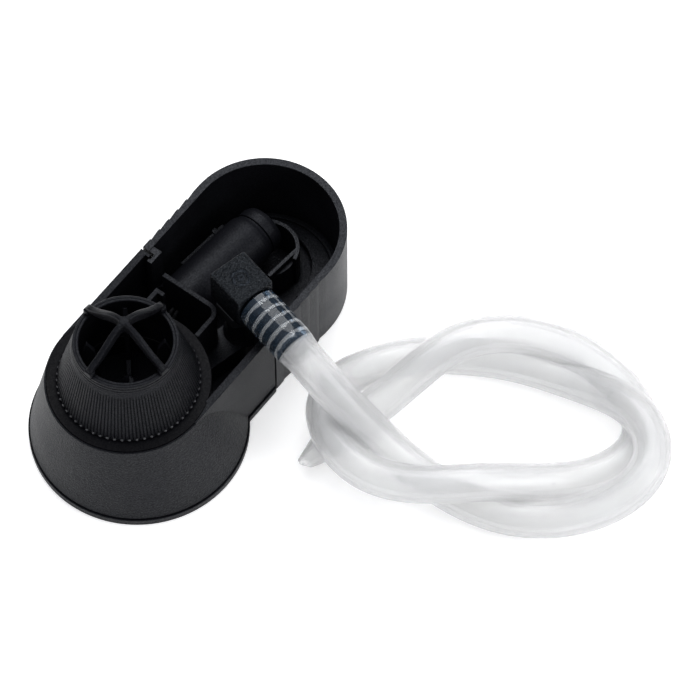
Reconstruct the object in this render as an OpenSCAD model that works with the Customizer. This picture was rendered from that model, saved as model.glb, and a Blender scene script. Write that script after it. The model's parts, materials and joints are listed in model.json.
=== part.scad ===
// Battery pool cleaner, lying face down with its open side up.
// The nozzle cone's axis is the Z axis, +X points to the rear cover,
// and the face plate rests on z = 0.

/* [Body] */
// Outer radius of the rim at the front and the rear end
rim_r = 30; // [26:0.5:36]
// Height of the rim above the resting face
body_h = 39.8; // [38:0.2:48]
// Distance between the centres of the two round ends
body_l = 78.6; // [76:0.2:96]
// Thickness of the outer walls
wall_t = 2.8; // [2:0.1:3.4]
// How far the skirt flares out beyond the rim
flare = 9.4; // [6:0.2:14]
// How far the flared base is shifted to the rear
flare_shift = 3.5; // [0:0.5:5]
// Where the front housing ends and the rear cover begins
seam_x = 45.1; // [44:0.1:47]
// Gap between the front housing and the rear cover
seam_gap = 1; // [0.6:0.1:2]

/* [Face plate] */
// Thickness of the face plate
face_t = 3; // [2.4:0.1:4]
// Thickness of the gasket between face plate and housing
gasket_t = 0.6; // [0.4:0.1:1]
// How far the face plate stands out beyond the housing
lip = 0.6; // [0:0.1:1.5]

/* [Nozzle] */
// Radius of the nozzle cone at its base
cone_r = 25.4; // [24.6:0.1:26]
// Radius of the nozzle's mouth
mouth_r = 16.5; // [15:0.1:17.5]
// Height of the nozzle cone above the deck
cone_h = 26.4; // [24:0.2:32]
// Wall of the nozzle cone at its mouth
mouth_wall = 2.2; // [1.6:0.1:3]
// Height of the guard's hub above the mouth
guard_h = 14.2; // [10:0.2:18]

/* [Motor and impeller] */
// Outer radius of the motor can
motor_r = 12.2; // [11:0.1:12.6]
// Radius of the drive shaft
shaft_r = 1; // [0.8:0.05:1.5]
// Radius of the impeller's blades
impeller_r = 17.5; // [15:0.1:18.5]
// Inner radius of the pump chamber
chamber_r = 20.2; // [19.8:0.1:20.6]

/* [Battery capsule] */
// Outer radius of the battery capsule
capsule_r = 10; // [9.6:0.1:10.6]
// Length of the capsule behind the bracket
capsule_l = 41.2; // [41.2:0.2:44]
// Radius of the battery cell
cell_r = 8.3; // [7:0.1:8.6]

/* [Outlet and hose] */
// Distance of the outlet stem from the nozzle axis
stem_d = 51; // [49:0.5:54]
// Direction of the outlet duct, in degrees from +X
duct_yaw = -14; // [-16:1:-12]
// Height of the duct's flat top
duct_top = 20; // [18:0.5:22]
// Width of the outlet duct
duct_w = 11.6; // [10:0.2:13]
// Width of the elbow's square block
block_w = 15.6; // [14:0.2:18]
// Height of the hose's centre line above the rim where it leaves the elbow
barb_up = 8.4; // [8.4:0.2:16]
// Outer radius of the hose
hose_r = 7; // [6:0.5:7]
// Radius of the hose's bore
hose_bore_r = 5; // [4:0.5:5.5]

/* [Hidden] */
$fn = 96;

gap = 0.3;              // clearance around pieces that move
snug = 0.1;             // clearance between pieces that are fitted
run = 0.05;             // radial clearance of the shaft in its bushes
big = 200;              // larger than the part, for cutting away

// Outer housing
house_z = face_t + gasket_t;
floor_z = 8.6;
floor_t = 1.6;
floor_top = floor_z + floor_t;
deck_t = 2.2;
deck_z = body_h - deck_t;
deck_lip = 0.65;
deck_r = rim_r - deck_lip - 0.15;
deck_end = 9;           // where the deck's round edge meets the straight walls
in_y = rim_r - wall_t;
cover_x = seam_x + seam_gap;
screw_r = 1.25;
screw_at = [[-27, 0], [9, 29], [9, -29], [39, 22], [39, -22]];
boss_r = 3.2;

// Snap hooks at the seam
hook_d = 1.6;
hook_t = 1.2;
tongue_t = 1.4;
tongue_y = in_y - hook_d - gap - 0.6;
tongue_z = floor_top + 1.8;

// Rear cover
cover_floor = 3.2;
shelf_t = 3.3;
rib_in = 1.6;
pit_r = 16.5;
saddle_x = body_l + 3.6;
saddle_y = 2;
saddle_r = 12;
saddle_top = 20;
groove_n = 5;
groove_pitch = 5.3;
groove_depth = 0.45;
groove_x = cover_x + 4.2;

// Pump
sleeve_t = 2.6;
sleeve_r = motor_r + 0.2 + sleeve_t;
chamber_z = 22;
chamber_t = 1.8;
chamber_top = body_h - 4.8;
chamber_out = chamber_r + chamber_t;
seal_ring_t = 0.4;
spigot_z = chamber_top + 0.6;
spigot_r = 22.3;
lug_top = deck_z - gap;
lug_out = 1.9;
lug_half = 12;
lug_turn = 45;
cone_z = body_h + 0.2;
mouth_z = body_h + cone_h + 0.2;
mouth_out = mouth_r + mouth_wall;
impeller_z = chamber_z + 3;
blade_tip_z = mouth_z - 0.3;
guard_turn = -5.5;
blade_turn = guard_turn + 45;
hub_h = 10;
shaft_top = impeller_z + hub_h - 2;

// Motor
can_z = 5;
can_top = 20.4;
can_t = 0.9;
magnet_in = motor_r - 2.6;
rotor_r = magnet_in - 0.8;
bush_r = 3;
low_bush_r = 2.5;

// Battery capsule, along its own axis
capsule_side = 1.2;
capsule_at = [seam_x - 2.5, tongue_y - tongue_t - capsule_side - capsule_r, floor_top + capsule_r + 0.2];
capsule_yaw = -5;
capsule_bore = cell_r + 0.4;
bracket_x = capsule_at[0] - 0.2;
cap_r = capsule_r - 0.8;
cap_l = 6.2;
cap_gap = 0.2;
spigot_l = 3;
cell_l = 34.2;
cell_z = 2.9;
flange_from = 14;

// Inner bracket
bracket_t = 1.7;
bracket_corner = 5;
bracket_y = -8.9;
bracket_far = 17;
rib_y = 15.6;
lead_y = capsule_at[1];
lead_hole = 2.2;
gland_r = 2.4;
lead_x = bracket_x - 4.3;

// Duct, stem and elbow, in a frame turned by duct_yaw
duct_x = chamber_out + 7.6;
duct_wall = 1.4;
cover_plate_t = 1.2;
stem_r = 6.2;
stem_bore = 4.6;
block_l = 16.6;
block_h = 15.2;
barb_z = body_h + barb_up;
block_z = barb_z - 7.4;
barb_root = 4.3;
barb_out = 5.7;
barb_bore = 3.1;
barb_l = 20;
barb_n = 4;
cuff_r = 8.1;
cuff_in = barb_out + 0.1;
cuff_l = 19;
cuff_taper = 5;
elbow_at = [stem_d * cos(duct_yaw), stem_d * sin(duct_yaw), barb_z];
hose_dir = [sin(duct_yaw), -cos(duct_yaw), 0];
cuff_0 = block_l / 2 + 1;
hose_0 = cuff_0 + cuff_l + cuff_taper;

// Board and button
board_x = 16.2;
board_y = -12;
board_size = [24, 26.5];
board_z = 6.8;
board_t = 1.2;
button_at = [25, 0];
button_r = 4.7;
button_press = 0.8;

// How much higher than usual the barb is, which the falling stretch of the hose follows
hose_lift = barb_z - 48.2;

// Points of the hose's centre line, from the elbow to the free end
hose_pts = [[41.6, -44.2, barb_z], [40.3, -53, 43.5 + 0.95 * hose_lift], [40.6, -62, 36 + 0.75 * hose_lift],
    [42, -71, 27 + 0.5 * hose_lift], [43.7, -80, 17.5 + 0.25 * hose_lift],
    [45.3, -89, 10 + 0.07 * hose_lift], [46, -98, 7.1], [46, -109, 7.1], [47.5, -120, 7.1], [51, -131, 7.3],
    [57, -142, 9], [64.5, -152, 12.5], [73, -159.5, 17], [82, -163.2, 20.5], [91, -163, 21.6],
    [98.5, -159.3, 21.6], [103.7, -153.3, 21.6], [106.6, -146, 21.4], [108.3, -137, 18.5],
    [109, -128, 14], [108.8, -118, 10], [107.5, -108, 7.5], [104.3, -97, 7.1], [99.7, -87, 7.1],
    [94, -77.5, 7.1], [87.5, -68, 7.1], [79.5, -60, 7.1], [70, -53.8, 7.6], [60, -50.6, 10.5],
    [50, -51.2, 15.5], [41, -55, 20.3], [34, -61.8, 21.6], [29.8, -71, 20.5], [29, -81, 19.2],
    [31, -91, 19.6], [35.5, -101, 21.3], [42, -110, 21.8], [50.5, -118.5, 20.8], [61, -127.5, 15],
    [72, -137, 9.5], [83, -145.5, 7.2], [94, -150.5, 7.1], [103.5, -150.8, 7.1], [111, -146.5, 7.1],
    [116, -139, 7.1], [118.8, -130.5, 8.3], [119, -120.5, 11.5], [116.5, -110, 15.5],
    [111.8, -99.8, 18.8], [106, -91, 21], [98.5, -83, 21.6], [90, -77.4, 21.6], [81.3, -74, 19.8],
    [72.3, -71, 15.5], [64, -68, 11], [55.5, -65.2, 8], [46.5, -62.8, 7.1], [38, -61.2, 7.1]];
hose_end = [22, -58.2, 7.1];
tip_l = norm(hose_end - hose_pts[len(hose_pts) - 1]);

// Unit vector, and a tube swept along a list of points
function unit(v) = v / max(norm(v), 0.001);
function heading(p, i) = unit(p[min(i + 1, len(p) - 1)] - p[max(i - 1, 0)]);
function sideways(d) = abs(d[2]) > 0.95 ? [0, 1, 0] : unit(cross([0, 0, 1], d));
function tube_ring(c, d, r, n) = let (s = sideways(d), u = cross(d, s))
    [for (k = [0:n - 1]) c + r * (cos(360 * (k + 0.5) / n) * s + sin(360 * (k + 0.5) / n) * u)];
module tube_along(p, r, n) {
    last = len(p) - 1;
    points = [for (i = [0:last]) each tube_ring(p[i], heading(p, i), r, n)];
    sides = [for (i = [0:last - 1], k = [0:n - 1])
        [i * n + k, (i + 1) * n + k, (i + 1) * n + (k + 1) % n, i * n + (k + 1) % n]];
    caps = [[for (k = [0:n - 1]) k], [for (k = [n - 1:-1:0]) last * n + k]];
    polyhedron(points, concat(sides, caps), convexity = 6);
}

module ring(outer, inner, h) {
    difference() {
        cylinder(r = outer, h = h);
        translate([0, 0, -1]) cylinder(r = inner, h = h + 2);
    }
}

// A slice of a full ring between two angles less than 180 degrees apart
module ring_slice(outer, inner, h, from, to) {
    far = 3 * outer;
    linear_extrude(h) intersection() {
        difference() {
            circle(outer);
            circle(inner);
        }
        polygon([[0, 0], [far * cos(from), far * sin(from)],
            [far * cos((from + to) / 2), far * sin((from + to) / 2)], [far * cos(to), far * sin(to)]]);
    }
}

// Outline of the front body at its base, drawn in by inset
module base_outline(inset) {
    translate([flare_shift, 0]) circle(rim_r + flare - inset);
    translate([0, -rim_r + inset]) square([seam_x, 2 * (rim_r - inset)]);
}

module in_duct_frame() {
    rotate(duct_yaw) children();
}

module in_capsule_frame() {
    translate(capsule_at) rotate(capsule_yaw) rotate([0, 90, 0]) children();
}

module at_screws() {
    for (p = screw_at) translate(p) children();
}

module flared_cone(inset, z0, z1) {
    hull() {
        translate([flare_shift, 0, z0]) cylinder(r = rim_r + flare - inset, h = 0.01);
        translate([0, 0, z1 - 0.01]) cylinder(r = rim_r - inset, h = 0.01);
    }
}

module face_plate() {
    color("#1b1c1e") difference() {
        linear_extrude(face_t) base_outline(-lip);
        at_screws() {
            translate([0, 0, -1]) cylinder(r = screw_r + 0.35, h = face_t + 2);
            translate([0, 0, -1]) cylinder(r = 2.8, h = 3.2);
        }
        translate([button_at[0], button_at[1], -1]) cylinder(r = button_r + gap, h = face_t + 2);
    }
}

module face_gasket() {
    color("#0e0e0f") translate([0, 0, face_t]) linear_extrude(gasket_t) difference() {
        base_outline(0.9);
        difference() {
            base_outline(2.6);
            translate([seam_x - 1.7, -big / 2]) square(big);
        }
    }
}

module face_screws() {
    color("silver") at_screws() difference() {
        union() {
            translate([0, 0, 0.6]) cylinder(r = 2.6, h = 1.6);
            translate([0, 0, 2.2]) cylinder(r = screw_r, h = 8);
        }
        translate([0, 0, 0.5]) cylinder(r = 1.1, h = 0.9, $fn = 6);
    }
}

module front_housing() {
    color("#242528") difference() {
        union() {
            difference() {
                union() {
                    flared_cone(0, house_z, body_h - 0.4);
                    translate([0, -rim_r, house_z]) cube([seam_x, 2 * rim_r, body_h - house_z]);
                }
                flared_cone(wall_t, house_z - 1, deck_z + 0.01);
                translate([0, -in_y, house_z - 1]) cube([big, 2 * in_y, big]);
                translate([0, 0, deck_z]) cylinder(r = rim_r - deck_lip, h = deck_t + 1);
            }
            // straight walls beside the deck
            for (side = [-1, 1]) scale([1, side, 1])
                translate([deck_end, in_y, deck_z]) cube([seam_x - deck_end, wall_t, deck_t]);
            // inner floor
            intersection() {
                flared_cone(wall_t - 0.5, house_z, deck_z);
                translate([-big / 2, -big / 2, floor_z]) cube([big / 2 + 1, big, floor_t]);
            }
            translate([0, -in_y - 0.5, floor_z]) cube([seam_x, 2 * in_y + 1, floor_t]);
            at_screws() translate([0, 0, house_z]) cylinder(r = boss_r, h = floor_top - house_z + 2);
            // snap hooks at the seam
            for (side = [-1, 1]) scale([1, side, 1])
                translate([seam_x - hook_t, in_y - hook_d, floor_top]) cube([hook_t, hook_d + 1, body_h - floor_top]);
        }
        translate([0, 0, floor_z - 1]) cylinder(r = sleeve_r + snug, h = floor_t + 2);
        at_screws() translate([0, 0, house_z - 1]) cylinder(r = screw_r + 0.05, h = 9);
        translate([lead_x, lead_y, floor_z - 1]) cylinder(r = gland_r, h = floor_t + 2);
    }
}

module rear_cover() {
    color("#242528") difference() {
        union() {
            difference() {
                union() {
                    translate([body_l, 0, 0]) cylinder(r = rim_r, h = body_h);
                    translate([cover_x, -rim_r, 0]) cube([body_l - cover_x, 2 * rim_r, body_h]);
                }
                translate([body_l, 0, cover_floor]) cylinder(r = in_y, h = big);
                translate([cover_x - 1, -in_y, cover_floor]) cube([body_l - cover_x + 1, 2 * in_y, big]);
            }
            // raised shelf behind the saddle
            translate([0, 0, cover_floor]) linear_extrude(shelf_t) difference() {
                intersection() {
                    translate([body_l, 0]) circle(in_y + 0.5);
                    translate([body_l, -big / 2]) square(big);
                }
                translate([saddle_x, saddle_y]) circle(pit_r);
            }
            // thin rib along the foot of the round wall
            translate([body_l, 0, cover_floor]) ring_slice(in_y - rib_in, in_y - rib_in - 0.8, shelf_t + 0.9, -58, 62);
            // saddle under the capsule's cap
            translate([saddle_x, saddle_y, cover_floor]) {
                ring_slice(saddle_r, saddle_r - 1.4, saddle_top - cover_floor, -80, 35);
                intersection() {
                    cylinder(r = saddle_r - 1, h = saddle_top - cover_floor - 2.5);
                    rotate(-5) translate([-8, -big - 8.6, 0]) cube([big, big, big]);
                }
                rotate(-5) translate([-8.5, -9.4, 0]) cube([15.5, 1.3, saddle_top - cover_floor]);
            }
            // snap tongues
            for (side = [-1, 1]) scale([1, side, 1]) translate([0, 0, tongue_z]) {
                height = body_h - 0.2 - tongue_z;
                translate([cover_x, tongue_y - tongue_t, 0]) cube([2.5, in_y - tongue_y + tongue_t + 1, height]);
                translate([seam_x - 2.7, tongue_y - tongue_t, 0]) cube([seam_gap + 3, tongue_t, height]);
                translate([seam_x - 2.7, tongue_y - tongue_t, 0]) cube([1.2, tongue_t + 0.6, height]);
            }
        }
        // saw-tooth grip grooves on both sides
        for (side = [-1, 1], i = [0:groove_n - 1]) scale([1, side, 1])
            translate([groove_x + i * groove_pitch, rim_r, -1]) linear_extrude(big)
                polygon([[0, 1], [0, -groove_depth], [groove_pitch - 1.2, 0.01], [groove_pitch - 1.2, 1]]);
    }
}

module pump_deck() {
    color("#2a2b2e") translate([0, 0, deck_z]) linear_extrude(deck_t) difference() {
        intersection() {
            circle(deck_r);
            union() {
                translate([deck_end - snug - big, -big / 2]) square(big);
                translate([0, -in_y + snug]) square([big, 2 * (in_y - snug)]);
            }
        }
        circle(spigot_r + gap);
        for (a = [60, 180, 300]) rotate(a + lug_turn) intersection() {
            circle(spigot_r + lug_out + gap);
            polygon([[0, 0], [big, -big * tan(lug_half + 2)], [big, big * tan(lug_half + 2)]]);
        }
    }
}

module inner_bracket() {
    color("#242528") difference() {
        translate([0, 0, floor_top]) linear_extrude(body_h - floor_top - 0.1) {
            corner = [bracket_x - bracket_corner, bracket_y + bracket_corner];
            translate([bracket_x - bracket_t, corner[1]]) square([bracket_t, bracket_far - corner[1]]);
            translate([deck_r - 0.8, bracket_y]) square([corner[0] - deck_r + 0.8, bracket_t]);
            translate(corner) intersection() {
                difference() {
                    circle(bracket_corner);
                    circle(bracket_corner - bracket_t);
                }
                translate([0, -big]) square(big);
            }
            // short hooked rib
            translate([deck_r - 3.4, rib_y - bracket_t]) square([9.8, bracket_t]);
            translate([deck_r + 4.9, rib_y - 4]) square([1.5, 4]);
        }
        in_duct_frame() translate([0, -duct_w / 2 - snug, 0]) {
            cube([big, duct_w + 2 * snug, duct_top + snug]);
            cube([duct_x + snug, duct_w + 2 * snug, chamber_top - 1 + snug]);
        }
        translate([0, lead_y, capsule_at[2]]) rotate([0, 90, 0]) cylinder(r = lead_hole, h = big);
    }
}

module motor_sleeve() {
    color("#33353a") difference() {
        translate([0, 0, face_t]) ring(sleeve_r, motor_r + 0.2, chamber_z - face_t);
        translate([0, -4, face_t - 1]) cube([big, 8, 3]);
    }
}

module pump_chamber() {
    chute_x = chamber_out - 3;
    color("#33353a") difference() {
        union() {
            translate([0, 0, chamber_z]) cylinder(r = chamber_out, h = chamber_top - chamber_z);
            in_duct_frame() translate([chute_x, -duct_w / 2, floor_top])
                cube([duct_x - chute_x, duct_w, chamber_top - floor_top - 1]);
        }
        translate([0, 0, chamber_z + 2]) cylinder(r = chamber_r, h = big);
        translate([0, 0, chamber_z - 1]) cylinder(r = 4.5, h = 4);
        in_duct_frame() translate([0, -duct_w / 2 + duct_wall, 0]) {
            width = duct_w - 2 * duct_wall;
            translate([0, 0, chamber_z + 4]) cube([duct_x - duct_wall, width, 7]);
            translate([chamber_out + 0.4, 0, floor_top + duct_wall])
                cube([duct_x - duct_wall - chamber_out - 0.4, width, chamber_z + 5 - floor_top]);
            translate([chamber_out + 0.4, 0, floor_top + duct_wall])
                cube([big, width, duct_top - cover_plate_t - floor_top - duct_wall]);
        }
    }
}

module chamber_seal() {
    color("#6b1f1a") translate([0, 0, chamber_top]) ring(chamber_out - 0.2, chamber_r + 0.1, seal_ring_t);
}

module motor_can() {
    color("silver") difference() {
        union() {
            translate([0, 0, can_z]) cylinder(r = motor_r, h = can_top - can_z);
            translate([0, 0, can_top]) cylinder(r = bush_r + 1, h = 1.2);
        }
        translate([0, 0, can_z - 1]) cylinder(r = motor_r - can_t, h = can_top - can_z + 1 - can_t);
        cylinder(r = bush_r, h = big);
    }
}

module motor_magnets() {
    color("#3c3c40") translate([0, 0, 7.6])
        for (a = [0, 180]) rotate(a) ring_slice(motor_r - can_t - snug, magnet_in, 10.4, -65, 65);
}

module motor_end_bell() {
    color("ivory") difference() {
        union() {
            translate([0, 0, can_z]) cylinder(r = motor_r - can_t - snug, h = 1.6);
            translate([0, 0, can_z]) cylinder(r = low_bush_r + 1.2, h = 2.4);
        }
        cylinder(r = low_bush_r, h = big);
    }
}

module upper_bush() {
    color("goldenrod") translate([0, 0, can_top - can_t]) ring(bush_r, shaft_r + run, 2);
}

module lower_bush() {
    color("goldenrod") translate([0, 0, can_z]) ring(low_bush_r, shaft_r + run, 2.4);
}

module shaft_seal() {
    color("#111111") translate([0, 0, chamber_z]) ring(4.5, shaft_r + run, 2);
}

module drive_shaft() {
    color("gainsboro") translate([0, 0, can_z + 0.2]) cylinder(r = shaft_r, h = shaft_top - can_z - 0.2);
}

module motor_rotor() {
    color("#8a3f1c") difference() {
        union() {
            translate([0, 0, 9.4]) cylinder(r = rotor_r, h = 8);
            translate([0, 0, 7.8]) cylinder(r = 2.6, h = 10.6);
        }
        cylinder(r = shaft_r + 0.02, h = big);
        for (a = [0, 120, 240]) rotate(a) translate([5, -1, 9]) cube([big, 2, 9]);
    }
}

module impeller() {
    color("#303236") difference() {
        union() {
            translate([0, 0, impeller_z]) cylinder(r = impeller_r - 0.5, h = 1.8);
            translate([0, 0, impeller_z]) cylinder(r = 4, h = hub_h);
            translate([0, 0, impeller_z + hub_h]) cylinder(r1 = 4, r2 = 1.6, h = 4);
            for (a = [0:90:270]) rotate(a + blade_turn) rotate([90, 0, 0]) translate([0, 0, -0.8])
                linear_extrude(1.6) polygon([[1, impeller_z + 1], [impeller_r, impeller_z + 1],
                    [impeller_r, impeller_z + 24], [impeller_r - 1, blade_tip_z - 9.8],
                    [impeller_r - 3.8, blade_tip_z], [impeller_r - 6.4, blade_tip_z - 5],
                    [impeller_r - 8.5, impeller_z + 13], [1, impeller_z + hub_h - 1]]);
        }
        translate([0, 0, impeller_z - 1]) cylinder(r = shaft_r + 0.02, h = shaft_top - impeller_z + 1.2);
    }
}

module nozzle_cone() {
    color("#242528") {
        rotate_extrude() polygon([[chamber_r + 0.3, spigot_z], [spigot_r, spigot_z], [spigot_r, cone_z],
            [cone_r, cone_z], [cone_r, cone_z + 0.8], [cone_r - 0.9, cone_z + 4.4],
            [cone_r - 2.4, cone_z + 10.4], [mouth_out + 2.3, mouth_z - 9], [mouth_out + 0.8, mouth_z - 3],
            [mouth_out, mouth_z - 1.6], [mouth_out, mouth_z], [mouth_r, mouth_z],
            [mouth_r, mouth_z - 1.8], [mouth_r + 3, mouth_z - 13], [chamber_r + 0.3, cone_z + 4]]);
        translate([0, 0, spigot_z]) for (a = [60, 180, 300])
            ring_slice(spigot_r + lug_out, spigot_r - 1, lug_top - spigot_z, a - lug_half, a + lug_half);
    }
}

module intake_guard() {
    hub_z = mouth_z + guard_h;
    color("#2d2e32") rotate(guard_turn) {
        for (a = [0:90:270]) rotate(a) rotate([90, 0, 0]) translate([0, 0, -1.2]) linear_extrude(2.4)
            polygon([[mouth_out + 0.3, mouth_z], [mouth_out + 0.3, mouth_z + 2.8],
                [mouth_out - 2, mouth_z + 4], [10, hub_z - 5], [4, hub_z - 1], [1, hub_z],
                [1, hub_z - 6], [4, hub_z - 5.5], [10, hub_z - 9], [mouth_r - 0.3, mouth_z]]);
        translate([0, 0, hub_z - 6]) cylinder(r1 = 1.4, r2 = 2.2, h = 6);
    }
}

module duct_plan(inset) {
    translate([duct_x + inset / 2, -duct_w / 2 + inset])
        square([stem_d - duct_x - inset / 2, duct_w - 2 * inset]);
    translate([stem_d, 0]) circle(duct_w / 2 - inset);
}

module outlet_duct() {
    color("#2a2b2e") in_duct_frame() difference() {
        translate([0, 0, floor_top]) linear_extrude(duct_top - cover_plate_t - floor_top) duct_plan(0);
        translate([0, 0, floor_top + duct_wall]) linear_extrude(big) duct_plan(duct_wall);
        translate([duct_x - 1, -duct_w / 2 + duct_wall, floor_top + duct_wall])
            cube([4, duct_w - 2 * duct_wall, big]);
    }
}

module duct_cover() {
    color("#34363a") in_duct_frame() difference() {
        union() {
            translate([0, 0, duct_top - cover_plate_t]) linear_extrude(cover_plate_t) duct_plan(0);
            translate([stem_d, 0, duct_top - 0.5]) cylinder(r = stem_r, h = block_z - duct_top + 0.5);
            translate([stem_d, 0, duct_top - 0.5]) cylinder(r1 = stem_r + 1.2, r2 = stem_r, h = 2.5);
        }
        translate([stem_d, 0, 0]) cylinder(r = stem_bore, h = big);
    }
}

module elbow() {
    color("#3a3b3f") in_duct_frame() translate([stem_d, 0, 0]) difference() {
        union() {
            translate([-block_w / 2, -block_l / 2, block_z]) cube([block_w, block_l, block_h]);
            translate([0, 0, block_z - 8]) cylinder(r = stem_bore - snug, h = 8.5);
            translate([0, 0, barb_z]) rotate([90, 0, 0]) {
                cylinder(r = barb_root, h = block_l / 2 + barb_l);
                for (i = [0:barb_n - 1]) translate([0, 0, block_l / 2 + 3.6 + i * 4.2])
                    cylinder(r1 = barb_out, r2 = barb_root, h = 3.4);
            }
        }
        translate([0, 0, block_z - 9]) cylinder(r = barb_bore, h = barb_z - block_z + 9);
        translate([0, 0, barb_z]) rotate([90, 0, 0]) cylinder(r = barb_bore, h = big);
        translate([0, 0, block_z - 6]) ring(stem_bore, stem_bore - 0.9, 1.6);
        translate([0, 0, block_z + block_h - 0.3]) ring(3.6, 3, 1);
    }
}

module elbow_nut() {
    nut_h = 5.4;
    color("#26272a") in_duct_frame() translate([stem_d, 0, block_z - nut_h - 0.2]) difference() {
        rotate(30) cylinder(r = stem_r + 3.1, h = nut_h, $fn = 6);
        translate([0, 0, -1]) cylinder(r = stem_r + snug, h = nut_h + 2);
    }
}

module stem_oring() {
    color("#101010") in_duct_frame() translate([stem_d, 0, block_z - 5.9])
        ring(stem_bore - 0.02, stem_bore - 0.85, 1.4);
}

module battery_capsule() {
    color("#2c2d31") difference() {
        in_capsule_frame() {
            rotate_extrude() polygon([[lead_hole, -2], [capsule_r, -2], [capsule_r, capsule_l - 3.6],
                [capsule_r - 0.3, capsule_l - 2.2], [capsule_r - 1, capsule_l - 0.8],
                [capsule_r - 1.2, capsule_l], [capsule_bore, capsule_l], [capsule_bore, 2.2],
                [lead_hole, 2.2]]);
            // flange and clip along the far side
            translate([-0.6, capsule_r - 0.5, flange_from]) cube([1.2, 2.2, capsule_l - 5 - flange_from]);
            translate([-1, capsule_r - 0.5, capsule_l - 10]) cube([2, 3, 2]);
        }
        translate([bracket_x - 20, -big / 2, 0]) cube([20 + snug, big, big]);
    }
}

module battery_cell() {
    color("#2f6f8f") in_capsule_frame() {
        translate([0, 0, cell_z + 1]) cylinder(r = cell_r, h = cell_l - 1);
        translate([0, 0, cell_z]) cylinder(r = 3, h = 1);
    }
}

module front_contact() {
    color("goldenrod") in_capsule_frame() translate([0, 0, 2.2]) cylinder(r = 6.5, h = 0.6);
}

module capsule_cap() {
    z0 = capsule_l + cap_gap;
    color("#26272b") in_capsule_frame() difference() {
        rotate_extrude() polygon([[0, z0 + cap_l], [cap_r - 3, z0 + cap_l], [cap_r - 1, z0 + cap_l - 0.9],
            [cap_r, z0 + cap_l - 3], [cap_r, z0], [capsule_bore - 0.25, z0],
            [capsule_bore - 0.25, z0 - spigot_l], [6.2, z0 - spigot_l], [6.2, z0 + cap_l - 2], [0, z0 + cap_l - 2]]);
        translate([0, 0, z0 - 2.2]) ring(capsule_bore, capsule_bore - 0.95, 1.3);
        translate([-4, -0.8, z0 + cap_l - 1]) cube([8, 1.6, 2]);
    }
}

module cap_oring() {
    color("#8a1f1a") in_capsule_frame() translate([0, 0, capsule_l + cap_gap - 2.1])
        ring(capsule_bore - 0.03, capsule_bore - 0.9, 1.1);
}

module cap_spring() {
    z0 = cell_z + cell_l + 0.1;
    z1 = capsule_l + cap_gap + cap_l - 2.1;
    turns = 4;
    color("silver") in_capsule_frame() tube_along([for (i = [0:turns * 12])
        let (f = i / (turns * 12), r = 2.6 + 2.6 * f)
            [r * cos(30 * i), r * sin(30 * i), z0 + 0.4 + (z1 - z0 - 0.8) * f]], 0.35, 6);
}

module control_board() {
    color("#1d5c38") translate([board_x, board_y, board_z]) difference() {
        cube([board_size[0], board_size[1], board_t]);
        for (y = [2.5, board_size[1] - 7]) translate([board_size[0] - 2.5, y, -1]) cylinder(r = 1, h = 4);
    }
}

module board_parts() {
    color("#2b2b30") translate([0, 0, board_z]) {
        translate([30, -9, -2]) cube([5, 4.6, 2]);
        translate([30.5, 5, -2.2]) cube([4, 5, 2.2]);
        translate([33, 0, -2.4]) cylinder(r = 2, h = 2.4);
        for (y = [-9.5, -6.5, 6, 9]) translate([22, y, -0.9]) cube([2, 1.2, 0.9]);
    }
}

module tact_switch() {
    color("#3d3d42") translate([button_at[0], button_at[1], 5]) difference() {
        translate([-3, -3, 0]) cube([6, 6, board_z - 5]);
        translate([0, 0, -1]) cylinder(r = 1.8, h = 4);
    }
}

module switch_plunger() {
    color("ivory") translate([button_at[0], button_at[1], face_t + 0.9]) cylinder(r = 1.7, h = 1.8);
}

module power_button() {
    color("#4a4c52") translate(button_at) {
        translate([0, 0, 0.5]) cylinder(r = button_r, h = face_t - 0.3);
        translate([0, 0, face_t + snug]) cylinder(r = button_r + 1.3, h = 0.8);
    }
}

module motor_leads() {
    lead_r = 0.6;
    color("#b02a22") for (y = [-2, 2])
        tube_along([[8.6, y, 4.1], [12, y, 4.1], [16, y, 4.1], [17, y, 4.5], [17.4, y, 5.4], [17.4, y, board_z]],
            lead_r, 8);
}

module battery_leads() {
    lead_r = 0.6;
    z = capsule_at[2];
    color("#b02a22") for (side = [-1, 1]) let (y = lead_y + side)
        tube_along([[lead_x, y, board_z + board_t], [lead_x, y, z - 4], [lead_x + 0.4, y, z - 2],
            [lead_x + 1.6, y, z - 0.5], [lead_x + 3, y, z], [capsule_at[0] + 2, y - 0.1, z]], lead_r, 8);
}

module lead_gland() {
    color("#101010") translate([lead_x, lead_y, floor_z]) difference() {
        cylinder(r = gland_r, h = floor_t + 1);
        for (side = [-1, 1]) translate([0, side, -1]) cylinder(r = 0.75, h = 5);
    }
}

module hose_cuff() {
    color("#cfd6da") translate(elbow_at) rotate(duct_yaw) rotate([90, 0, 0])
        rotate_extrude() polygon([[cuff_in, cuff_0], [cuff_r, cuff_0], [cuff_r, cuff_0 + cuff_l],
            [hose_r, hose_0], [hose_bore_r, hose_0], [cuff_in, cuff_0 + cuff_l]]);
}

module hose() {
    start = elbow_at + hose_0 * hose_dir;
    route = concat([start], [start + 3 * hose_dir], [for (i = [1:len(hose_pts) - 1]) hose_pts[i]]);
    color("#d5dbde") tube_along(route, hose_r, 10);
}

module hose_tip() {
    from = hose_pts[len(hose_pts) - 1];
    turn = atan2(hose_end[1] - from[1], hose_end[0] - from[0]);
    color("#cfd6da") translate(from) rotate(turn) rotate([0, 90, 0]) translate([0, 0, 0.1])
        ring(hose_r, hose_bore_r, tip_l - 0.1);
}

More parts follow.
